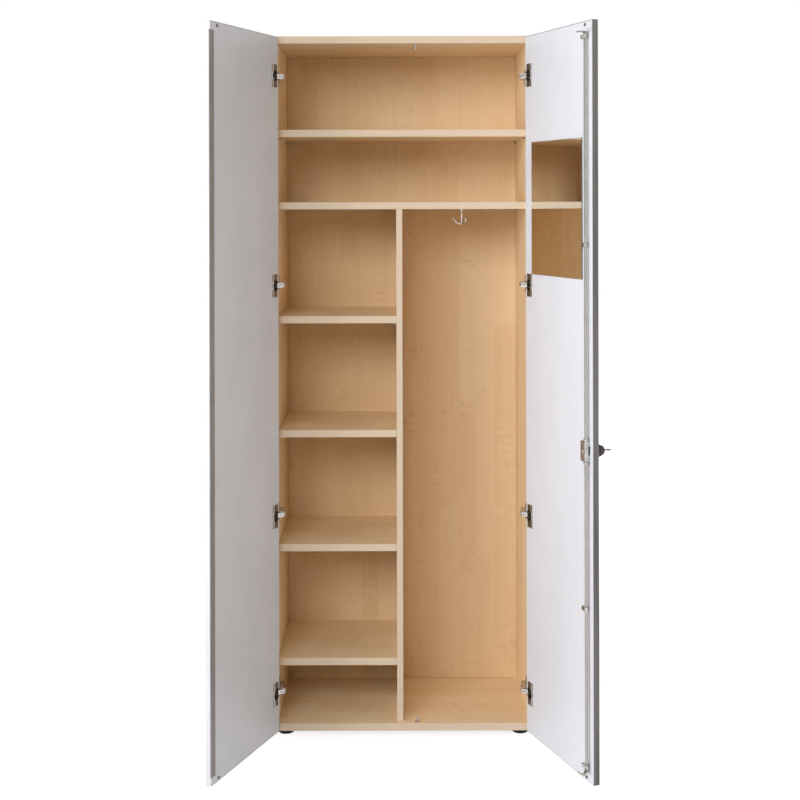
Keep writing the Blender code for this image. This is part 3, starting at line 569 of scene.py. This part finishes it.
# Hinge arms: a pressed channel that tapers to the rear, link plate bent over to the cup, oval mounting plate;
# each is worked out from its pin: x away from the side panel, y towards the back.
# Screws are (radius, height, turn); the arm's stations are (distance from its front, how far it is drawn in)
hinge = {
    "heights": [float(middle(f"hinge_cup_left_{n}")[2]) for n in range(1, 5)],
    "wall": 0.0068, "front": 0.0135, "rear": 0.0745, "rise": 0.0225, "rearRise": 0.0150, "half": 0.0080,
    "stations": ((0.0, 0.0013), (0.0007, 0.0004), (0.0018, 0.0), (0.012, 0.0), (0.024, 0.0), (0.034, 0.0),
                 (0.044, 0.0), (0.054, 0.0), (0.0592, 0.0), (0.0604, 0.0005), (0.0610, 0.0014)),
    "taperStart": 0.018, "taperLong": 0.022, "taperHalf": 0.0010,
    "link": ((0.0085, -0.0008), (0.0268, 0.0068), (0.0266, 0.0150)), "linkThick": 0.0022, "linkHalf": 0.0068,
    "rivets": (0.36, 0.68), "rivet": (0.0015, 0.0021), "neck": 0.0032,
    "knuckle": 0.0029, "knuckleHalf": 0.0062,
    "plateFront": 0.0305, "plateRear": 0.0665, "plateHalf": 0.025, "plateThick": 0.0025, "plateShadowRim": 0.0015,
    "plateScrew": (0.0041, 0.0019, 0.3), "plateScrewRise": 0.0185, "topScrew": (0.0036, 0.0014, 0.6),
    "topScrewBack": 0.013, "setScrew": (0.0030, 0.0012, 0.1), "setScrewBack": 0.012,
    "earScrew": (0.0040, 0.0018, 0.4), "earAcross": 0.020, "earDeep": 0.00145, "earRise": 0.0255,
}
fromWall = ((0, 1, 0), (0, 0, 1), (1, 0, 0))  # axes of a shape that lies on the side panel


# strip: a line with thickness, (x, y) to either side of it by half the thickness, carried up z
def stripShell(line, thick, half):
    ahead = np.gradient(line, axis=0)
    ahead /= np.linalg.norm(ahead, axis=1, keepdims=True)
    aside = np.stack([-ahead[:, 1], ahead[:, 0]], -1) * thick / 2
    outline = np.concatenate([line - aside, (line + aside)[::-1]])
    return slab(outline, [(-half, 0.0004), (0.0005 - half, 0.0), (half - 0.0005, 0.0), (half, 0.0004)])


# oval plate: x = length/2 |cos a|^0.75, z = tall/2 |sin a|^0.75, each with its sign
def ovalPlate(grow, low, high):
    h = hinge
    angle = np.linspace(0, 2 * math.pi, 56, endpoint=False)
    length, tall = h["plateRear"] - h["plateFront"] + 2 * grow, 2 * (h["plateHalf"] + grow)
    waves = ((np.cos(angle), length), (np.sin(angle), tall))
    oval = np.stack([np.sign(f) * np.abs(f) ** 0.75 * r / 2 for f, r in waves], -1)
    return placed(slab(oval, [(low, 0.0), (high - 0.0005, 0.0), (high, 0.0006)]),
                  (h["wall"], (h["plateFront"] + h["plateRear"]) / 2, 0), *fromWall)


# body: rounded rectangles from front to rear; the height eases from rise to rearRise, the ends are drawn in
def hingeArmShell():
    h = hinge
    station, drawn = np.array(h["stations"]).T
    ease = np.clip((station - h["taperStart"]) / h["taperLong"], 0, 1)
    ease = ease ** 2 * (3 - 2 * ease)
    lift = (h["rise"] + (h["rearRise"] - h["rise"]) * ease) / 2
    half = h["half"] - h["taperHalf"] * ease - drawn
    unit = rectangle(2.0, 2.0, 0.30, 5)
    x = h["wall"] + lift[:, None] + (lift - drawn)[:, None] * unit[None, :, 0]
    z = half[:, None] * unit[None, :, 1]
    y = h["front"] + station[:, None] + 0 * z
    body = turnOver(gridShell(np.stack([x, y, z], -1)))
    link = stripShell(roundedLine(h["link"], 0.003, 6), h["linkThick"], h["linkHalf"])
    return joined(body, ovalPlate(0.0, 0.0, h["plateThick"]), link)


# painted shade: the knuckle on the pin, the neck from it to the link and two rivets in the link are
# near-black for the shade in the cup hollow, and a rim under the plate stands for the shadow round it
def hingePaintedShadeShell():
    h = hinge
    near, far = (np.array(point) for point in h["link"][:2])
    r, half = h["knuckle"], h["knuckleHalf"]
    knuckle = lathe(roundedLine([(0.0013, -half), (r, -half), (r, half), (0.0013, half)], 0.0006, 3), 28)
    neck = stripShell(np.linspace(0.0, 1.08, 4)[:, None] * near, h["neck"], half - 0.0004)
    ahead = (far - near) / np.linalg.norm(far - near)
    face = np.array([ahead[1], -ahead[0], 0.0])
    angle = np.linspace(0, 2 * math.pi, 24, endpoint=False)
    oval = np.stack([h["rivet"][0] * np.cos(angle), h["rivet"][1] * np.sin(angle)], -1)
    rivet = slab(oval, [(-0.0004, 0.0), (0.0003, 0.0), (0.0005, 0.0004), (0.0003, 0.0008)])
    spots = [np.append(near + share * (far - near), 0.0) + face * h["linkThick"] / 2 for share in h["rivets"]]
    rivets = [placed(rivet, spot, (*ahead, 0), (0, 0, 1), face) for spot in spots]
    return joined(knuckle, neck, *rivets, ovalPlate(h["plateShadowRim"], -0.0001, 0.0012))


# Lip along the cup plate's far side: (t, d) profile carried up z; its outer edge swells where the cup is, and
# its inner edge follows the cup's round, t = centre + sqrt(r^2 - z^2), so the arm folds in beside it
lip = {
    "flatEnd": 0.034, "shoulder": 0.0346, "tip": 0.0349,
    "drawnFrom": 0.0343, "drawnLong": 0.0006, "drawn": 0.35, "swell": 0.0020, "swellHalf": 0.011,
    "inner": 0.0300, "outer": 0.0386, "cupCentre": 0.0200, "cupRadius": 0.0177,
    "shares": (0.0, 0.05, 0.14, 0.35, 0.84, 0.98, 1.0, 0.98),
    "depths": (0.0010, 0.0026, 0.0031, 0.0031, 0.0013, 0.0007, 0.0005, 0.0004),
}


def cupLipShell():
    low, high = [-lip["tip"], -lip["shoulder"]], [lip["shoulder"], lip["tip"]]
    z = np.concatenate([low, np.linspace(-lip["flatEnd"], lip["flatEnd"], 41), high])[:, None]
    drawn = np.clip((np.abs(z) - lip["drawnFrom"]) / lip["drawnLong"], 0, 1)
    swell = lip["swell"] * np.exp(-(z / lip["swellHalf"]) ** 2)
    cup = lip["cupCentre"] + np.sqrt(np.maximum(lip["cupRadius"] ** 2 - z ** 2, 0.0))
    inner = np.maximum(lip["inner"], cup)
    share = np.array(lip["shares"])[None, :]
    depth = np.array(lip["depths"])[None, :]
    t = inner + share * (lip["outer"] + swell - inner)
    return turnOver(gridShell(np.stack([t, depth * (1 - lip["drawn"] * drawn), z + 0 * t], -1)))


# two screws in the mounting plate, one that clamps the arm at the rear and one that sets it at the front
def hingeScrews():
    h = hinge
    centre = (h["plateFront"] + h["plateRear"]) / 2
    spots = [(h["plateScrew"], h["plateThick"], centre, -h["plateScrewRise"]),
             (h["plateScrew"], h["plateThick"], centre, h["plateScrewRise"]),
             (h["topScrew"], h["rearRise"], h["rear"] - h["topScrewBack"], 0),
             (h["setScrew"], h["rise"], h["front"] + h["setScrewBack"], 0)]
    return joined(*(placed(screwHead(*size), (h["wall"] + lift - 0.0001, y, z), *fromWall)
                    for size, lift, y, z in spots))


def makeHinges():
    h = hinge
    arm, paintedShadeParts, lipPart, screws = hingeArmShell(), hingePaintedShadeShell(), cupLipShell(), hingeScrews()
    for side, sign in (("left", 1.0), ("right", -1.0)):
        across, inward, up = doorAxes(side)
        door = doors[side]["body"]
        for number, z in enumerate(h["heights"], 1):
            origin = (*doors[side]["pivot"], z)
            axis = (sign, 0, 0)
            newPiece(f"arm_{side}_{number}", placed(arm, origin, axis), "carcass", "pressed",
                     (f"hinge_arm_{side}_{number}",))
            # painted shade: the near-black knuckle, neck, rivets and plate rim
            newPiece(f"arm_painted_shade_{side}_{number}", placed(paintedShadeParts, origin, axis), "carcass", "link")
            newPiece(f"arm_screws_{side}_{number}", placed(screws, origin, axis), "carcass", "screw")
            spots = [onDoor(side, h["earAcross"], h["earDeep"], z + dz)
                     for dz in (-h["earRise"], h["earRise"])]
            ears = [placed(screwHead(*h["earScrew"]), spot, across, up, inward) for spot in spots]
            newPiece(f"cup_screws_{side}_{number}", joined(*ears), door, "cup")
            edge = placed(lipPart, onDoor(side, 0.0, 0.0, z), across, inward, up)
            newPiece(f"cup_lip_{side}_{number}", edge, door, "screw")


makeHinges()
print("hinges made")


# Shelf pegs: the hat shelf's own, and four of the same under each loose shelf
peg = {
    "radius": 0.0035, "length": 0.009, "inset": 0.037, "front": -0.17025, "back": 0.18195, "gap": 0.0002,
    "shelves": ("shelf_1", "shelf_2", "shelf_3", "shelf_4"), "walls": ((-0.384, 1.0), (-0.018, -1.0)),
}


# a turned pin, its end chamfered
def pegShell(length):
    r = peg["radius"]
    profile = [(0.0012, 0.0), (r, 0.0), (r, length - 0.0006), (r - 0.0008, length), (0.0008, length)]
    return lathe(roundedLine(profile, 0.0006, 3), 28)


def makePegs():
    for number in range(1, 5):
        name = f"shelf_support_{number}"
        low, high = corners(name)
        centre = (low + high) / 2
        sign = 1.0 if centre[0] < 0 else -1.0
        start = (low[0] if sign > 0 else high[0], centre[1], centre[2])
        pin = placed(pegShell(high[0] - low[0]), start, (0, sign, 0), (0, 0, 1), (sign, 0, 0))
        newPiece(f"hat_peg_{number}", pin, "carcass", "nickel", (name,))
    pin = pegShell(peg["length"])
    for shelf in peg["shelves"]:
        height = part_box(shelf)[0][2] - peg["radius"] - peg["gap"]
        pegs = [
            placed(pin, (x + sign * 0.0001, y, height), (0, sign, 0), (0, 0, 1), (sign, 0, 0))
            for x, sign in peg["walls"]
            for y in (peg["front"] + peg["inset"], peg["back"] - peg["inset"])]
        newPiece("pegs_" + shelf, joined(*pegs), "carcass", "nickel")


makePegs()
print("shelf pegs made")


# Rubber dots where the doors meet the boards: a low rim, then (r cos b, thick (0.35 + 0.65 sin b / sin bow))
dots = {"radius": 0.0045, "bow": 1.35, "places": ("left_top", "left_bottom", "right_top", "right_bottom")}


def makeDots():
    r = dots["radius"]
    bow = np.linspace(0.0, dots["bow"], 10)
    for place in dots["places"]:
        name = "bumper_" + place
        side = place.split("_")[0]
        across, inward, up = doorAxes(side)
        points = np.array([v.co for v in nodes[name].data.vertices])
        depth = points @ inward
        thick = float(depth.max() - depth.min())
        centre = middle(name)
        base = centre + inward * (float(depth.min()) - float(centre @ inward))
        dome = np.stack([r * np.cos(bow), thick * (0.35 + 0.65 * np.sin(bow) / math.sin(dots["bow"]))], -1)
        shape = lathe(np.concatenate([[(r * 0.98, 0.0), (r, 0.0003)], dome]), 36)
        newPiece("dot_" + place, placed(shape, base, across, up if side == "right" else -up, inward),
                 doors[side]["body"], "pad", (name,))


makeDots()
print("dots made")


# Turning rods: drawn bar with rounded ends, and a collar where each enters the lock case
rods = {
    "radius": 0.004, "axis": (0.510177, -0.549681), "ends": 0.0010,
    "collar": 0.0066, "collarTop": 0.0056, "collarLong": 0.0095, "play": 0.0004,
}


def makeRods():
    r, e = rods["radius"], rods["ends"]
    for half in ("upper", "lower"):
        low, high = (corner[2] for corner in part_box("rod_" + half))
        profile = [(r * 0.5, low), (r - e, low), (r, low + e), (r, high - e), (r - e, high), (r * 0.5, high)]
        bar = placed(lathe(roundedLine(profile, 0.0007, 3), 40), (*rods["axis"], 0))
        newPiece(f"drawn_rod_{half}", bar, "bolt_rods", "rod", ("rod_" + half,))
    inner, outer, tip, long = r + rods["play"], rods["collar"], rods["collarTop"], rods["collarLong"]
    profile = [(inner, 0.0001), (outer, 0.0001), (outer, long * 0.55), (tip, long), (inner, long)]
    collar = ringShell(roundedLine(profile, 0.0006, 3), 40)
    caseLow, caseHigh = (corner[2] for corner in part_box("lock_case"))
    for half, start, sign in (("upper", caseHigh, 1.0), ("lower", caseLow, -1.0)):
        shape = placed(collar, (*rods["axis"], start), (1, 0, 0), (0, 1, 0), (0, 0, sign))
        newPiece(f"rod_collar_{half}", shape, "right_door", "screw")


makeRods()
print("rods made")


# Lock case: cover plate with its screws and rivet, raised gear block and a thin black plate on the free side,
# painted shade for the slot there;
# block and slot are (d from, d to, z from, z to), screws (radius, height, turn)
case = {
    "block": (0.0060, 0.0148, 0.9447, 0.9653), "slot": (0.0009, 0.0050, 0.9415, 0.9665),
    "cover": (0.0235, 0.052), "rivet": 0.0040, "rivetRise": 0.7, "screws": (0.972, 0.932),
    "coverScrew": (0.0026, 0.0012, 0.5), "coverInset": 0.0075,
    "sideScrew": (0.0019, 0.0009, 0.2), "sideDeep": 0.0115,
    "guideScrew": (0.0024, 0.0012, 0.8), "guideAcross": 0.3600, "guideDeep": 0.01442,
}


def makeLockCase():
    c = case
    across, inward, up = doorAxes("right")
    points = np.array([v.co for v in nodes["lock_case"].data.vertices])
    start = onDoor("right", 0.0, 0.0, 0.0)
    depth = float((points @ inward).max()) - float(start @ inward)
    reach = points @ across - float(start @ across)
    low, high, mid = float(reach.min()), float(reach.max()), float(middle("lock_case")[2])

    def onSide(key, corner, stations):
        d0, d1, z0, z1 = c[key]
        return placed(slab(rectangle(d1 - d0, z1 - z0, corner), stations),
                      onDoor("right", high, (d0 + d1) / 2, (z0 + z1) / 2), inward, up, across)

    def onFace(shell, t, d, z):
        return placed(shell, onDoor("right", t, d, z), across, up, inward)

    block = onSide("block", 0.0016, [(-0.0002, 0.0), (0.0008, 0.0), (0.0012, 0.0005)])
    newPiece("lock_block", block, "right_door", "nickel")
    # painted shade: a thin black plate stands for the shade in the slot of the case side
    gap = onSide("slot", 0.0008, [(-0.0002, 0.0), (0.00025, 0.0), (0.0003, 0.0002)])
    newPiece("lock_slot_painted_shade", gap, "right_door", "black")
    plate = slab(rectangle(*c["cover"], 0.0022), [(-0.0002, 0.0), (0.0003, 0.0), (0.0005, 0.0003)])
    newPiece("lock_cover", onFace(plate, (low + high) / 2, depth, mid), "right_door", "cover")
    onCover = depth + 0.0004
    heads = [onFace(screwHead(*c["coverScrew"]), low + c["coverInset"], onCover, z) for z in c["screws"]]
    spots = [onDoor("right", high - 0.0001, c["sideDeep"], z) for z in c["screws"]]
    heads += [placed(screwHead(*c["sideScrew"]), spot, inward, up, across) for spot in spots]
    newPiece("lock_screws", joined(*heads), "right_door", "screw")
    bow = np.linspace(0.0, 1.5, 8)
    dome = lathe(np.stack([c["rivet"] * np.cos(bow), c["rivetRise"] * c["rivet"] * np.sin(bow)], -1), 28)
    newPiece("lock_rivet", onFace(dome, (low + high) / 2, onCover, mid), "right_door", "chrome")
    heights = [float(middle(f"rod_guide_{n}")[2]) for n in range(1, 5)]
    guides = [onFace(screwHead(*c["guideScrew"]), c["guideAcross"], c["guideDeep"], z) for z in heights]
    newPiece("guide_screws", joined(*guides), "right_door", "screw")


makeLockCase()
print("lock case made")


# Turn knob: stepped, tapered lathe with fine rings; the lock cylinder sits in its bore
knob = {
    "centre": (0.537065, -0.538817, 0.952), "outward": (0.927184, 0.374607, 0.0),
    "profile": ((0.0180, 0.0003), (0.0180, 0.003), (0.0165, 0.0045), (0.0165, 0.009), (0.0176, 0.0105),
                (0.0176, 0.0135), (0.0160, 0.0155), (0.0138, 0.0232), (0.0110, 0.026)),
    "bore": 0.00735, "boreFloor": 0.0062, "spindle": 0.0045, "spindleEnd": -0.024, "core": 0.001,
}


def makeKnob():
    k = knob
    foot, front = k["profile"][0][1], k["profile"][-1][1]
    outer = roundedLine(k["profile"], 0.0012, 5)
    inner = np.array([(k["bore"], front), (k["bore"], k["boreFloor"]), (k["core"], k["boreFloor"])])
    stem = np.array([(k["core"], k["spindleEnd"]), (k["spindle"], k["spindleEnd"]), (k["spindle"], foot)])
    shape = lathe(np.concatenate([stem, outer, inner]), 96)
    w = np.array(k["outward"])
    v = np.array([0.0, 0.0, 1.0])
    turned = placed(shape, k["centre"], np.cross(v, w), v, w)
    newPiece("turned_knob", turned, "knob", "dark", ("turn_knob",))


makeKnob()
print("knob made")


# Strike pins: a pin with a domed end on a small flange
strike = {"radius": 0.0023, "flange": 0.006, "flangeThick": 0.0015}


def makeStrikes():
    r, f, t = strike["radius"], strike["flange"], strike["flangeThick"]
    for end, sign in (("top", -1.0), ("bottom", 1.0)):
        name = "strike_pin_" + end
        low, high = corners(name)
        long = high[2] - low[2]
        profile = [(0.002, 0.0), (f, 0.0), (f, t), (r + 0.0004, t), (r, t + 0.001), (r, long - 0.0012),
                   (r - 0.0009, long), (0.0006, long)]
        shape = lathe(roundedLine(profile, 0.0006, 4), 36)
        start = ((low[0] + high[0]) / 2, (low[1] + high[1]) / 2, high[2] if sign < 0 else low[2])
        pin = placed(shape, start, (1, 0, 0), (0, 1, 0), (0, 0, sign))
        newPiece("strike_" + end, pin, "carcass", "nickel", (name,))


makeStrikes()
print("strike pins made")


# Coat hook: base with two screws, waisted stem, three arms on a quarter ellipse with ball tips
coat = {
    "centre": (0.1925, 0.006), "under": 1.626,
    "base": 0.014, "baseThick": 0.003, "boss": 0.006, "bossLong": 0.005,
    "screw": (0.0026, 0.0012), "screwAside": 0.0100, "stem": 0.005, "stemLong": 0.042, "waist": 0.0005,
    "wire": 0.0025, "swell": 0.10, "reach": 0.0245, "rise": 0.0170, "tip": 0.0031, "arms": 3,
    "pin": 0.0025, "play": 0.0004, "bite": 0.004, "gap": 0.0003,
}


def makeCoatHook():
    c = coat
    top = c["under"] - c["gap"]
    bossEnd = top - c["baseThick"] - c["bossLong"]
    face = bossEnd + c["bossLong"]
    bore, boreEnd = c["pin"] + c["play"], bossEnd + c["bite"] + 0.0003
    wide, boss = c["base"], c["boss"]
    profile = [(0.004, top), (wide, top), (wide, face), (boss + 0.001, face), (boss, bossEnd + 0.004),
               (boss, bossEnd), (bore, bossEnd), (bore, boreEnd), (0.0004, boreEnd)]
    base = placed(turnOver(lathe(roundedLine(profile, 0.0008, 3), 48)), (*c["centre"], 0))
    newPiece("hook_base", base, "carcass", "chrome", ("coat_hook_base",))
    x, y = c["centre"]
    heads = [placed(screwHead(*c["screw"]), (x + dx, y, face), (1, 0, 0), (0, 1, 0), (0, 0, -1))
             for dx in (-c["screwAside"], c["screwAside"])]
    newPiece("hook_screws", joined(*heads), "carcass", "screw")

    r, pin, pinTop = c["stem"], c["pin"], bossEnd + c["bite"]
    waist = r - c["waist"]
    stemTop = bossEnd - c["gap"]
    stemEnd = stemTop - c["stemLong"]
    profile = [(0.0006, pinTop), (pin, pinTop), (pin, stemTop), (r, stemTop), (r, stemTop - 0.014),
               (waist, stemTop - 0.017), (waist, stemEnd + 0.010), (r, stemEnd + 0.006), (r, stemEnd + 0.001),
               (r - 0.002, stemEnd - 0.0015), (0.0006, stemEnd - 0.0025)]
    shells = [turnOver(lathe(roundedLine(profile, 0.0012, 4), 40))]
    # arm: x = reach sin s, z = low + rise (1 - cos s), s from 0 to a right angle
    s = np.linspace(0, math.pi / 2, 28)
    low = stemEnd + c["wire"]
    path = np.stack([c["reach"] * np.sin(s), 0 * s, low + c["rise"] * (1 - np.cos(s))], -1)
    arm = tube(path, c["wire"] * (1 + c["swell"] * np.cos(s)))
    bow = np.linspace(-1.45, 1.45, 14)
    ball = placed(lathe(np.stack([c["tip"] * np.cos(bow), c["tip"] * np.sin(bow)], -1), 28), path[-1])
    for number in range(c["arms"]):
        turn = 2 * math.pi * number / c["arms"] + math.pi
        u = (math.cos(turn), math.sin(turn), 0)
        v = (-math.sin(turn), math.cos(turn), 0)
        shells += [placed(arm, (0, 0, 0), u, v), placed(ball, (0, 0, 0), u, v)]
    hook = placed(joined(*shells), (*c["centre"], 0))
    newPiece("swivel_hook", hook, "hook_swivel", "chrome", ("coat_hook",))


makeCoatHook()
print("coat hook made")


# Studio: pale floor, even white surround that lights the shade a little warmer; a broad soft lamp at the left
# in front, a higher one nearer the camera, a weak one at the right and one behind.
# Lamps are (degrees round from the front, height, width, tallness, watts, coolness)
studio = {
    "ambient": (0.118, 0.094, 0.068), "distance": 6.0, "aim": (0.0, 0.0, 1.2),
    "lamps": {
        "key": (-60.0, 1.2, 4.8, 2.4, 252.0, 0.06), "upper": (-22.0, 3.7, 4.8, 2.4, 218.0, 0.06),
        "side": (70.0, 1.4, 4.8, 2.6, 126.0, 0.0), "rear": (165.0, 3.0, 5.0, 3.0, 190.0, 0.0),
    },
    "floor": (0.54, 0.54, 0.54), "floorMottle": 0.985, "floorRough": 0.9, "floorSize": 30.0,
    "floorNear": 0.77, "floorFar": 1.0, "fadeFrom": 0.9, "fadeTo": 2.6,
}


# 1 for the rays that see the surround itself, and 0 for those that only carry its light
def seenRays(tree):
    start = Wire(tree)
    names = ("Is Camera Ray", "Is Glossy Ray", "Is Transmission Ray")
    straight, gloss, through = [start.node("LightPath", out=name) for name in names]
    return straight.most(gloss).most(through)


def makeSurround():
    world = bpy.data.worlds.new("surround")
    world.use_nodes = True
    bpy.context.scene.world = world
    tree = world.node_tree
    colour = seenRays(tree).mixed(studio["ambient"], (1.0, 1.0, 1.0))
    tree.links.new(colour.socket, tree.nodes["Background"].inputs["Color"])


def makeLamps():
    for name, (bearing, height, width, tall, watts, cool) in studio["lamps"].items():
        data = bpy.data.lights.new(name + "_lamp", "AREA")
        data.shape = "RECTANGLE"
        data.size = width
        data.size_y = tall
        data.energy = watts
        data.color = (1 - 0.4 * cool, 1.0, 1 + cool)
        lamp = bpy.data.objects.new(name + "_lamp", data)
        lamp.visible_glossy = False  # metal shows the even surround, no hot spots
        turn = math.radians(bearing)
        lamp.location = (studio["distance"] * math.sin(turn), -studio["distance"] * math.cos(turn), height)
        away = np.array(lamp.location) - np.array(studio["aim"])
        tilt = math.atan2(math.hypot(away[0], away[1]), away[2])
        lamp.rotation_euler = (tilt, 0, math.atan2(away[1], away[0]) + math.pi / 2)
        bpy.context.scene.collection.objects.link(lamp)


# floor: one square; it glows towards white where it is seen, less near the middle, so the shadow shows
def makeFloor():
    half = studio["floorSize"] / 2
    mesh = bpy.data.meshes.new("floor")
    square = [(-half, -half, 0), (half, -half, 0), (half, half, 0), (-half, half, 0)]
    mesh.from_pydata(square, [], [(0, 1, 2, 3)])
    floor = bpy.data.objects.new("floor", mesh)
    bpy.context.scene.collection.objects.link(floor)
    constants = {"Roughness": studio["floorRough"], "Specular IOR Level": 0.0, "Emission Strength": 1.0}
    material, place, facing, feed, bump = newFinish("pale_floor", constants)
    away = place.node("VectorMath", {"operation": "LENGTH"}, {0: place}, 1)
    fade = away.ease(studio["fadeFrom"], studio["fadeTo"])
    white = fade.mixed((studio["floorNear"],) * 3, (studio["floorFar"],) * 3)
    glow = seenRays(material.node_tree).mixed((0.0, 0.0, 0.0), white)
    grain = place.noise((3.0, 3.0, 3.0), 4.0, 0.6).ease(0.3, 0.7)
    mottled = tuple(c * studio["floorMottle"] for c in studio["floor"])
    feed(Base_Color=grain.mixed(studio["floor"], mottled), Emission_Color=glow)
    mesh.materials.append(material)


bpy.context.scene.view_settings.view_transform = "Standard"
makeSurround()
makeLamps()
makeFloor()
print("studio set")
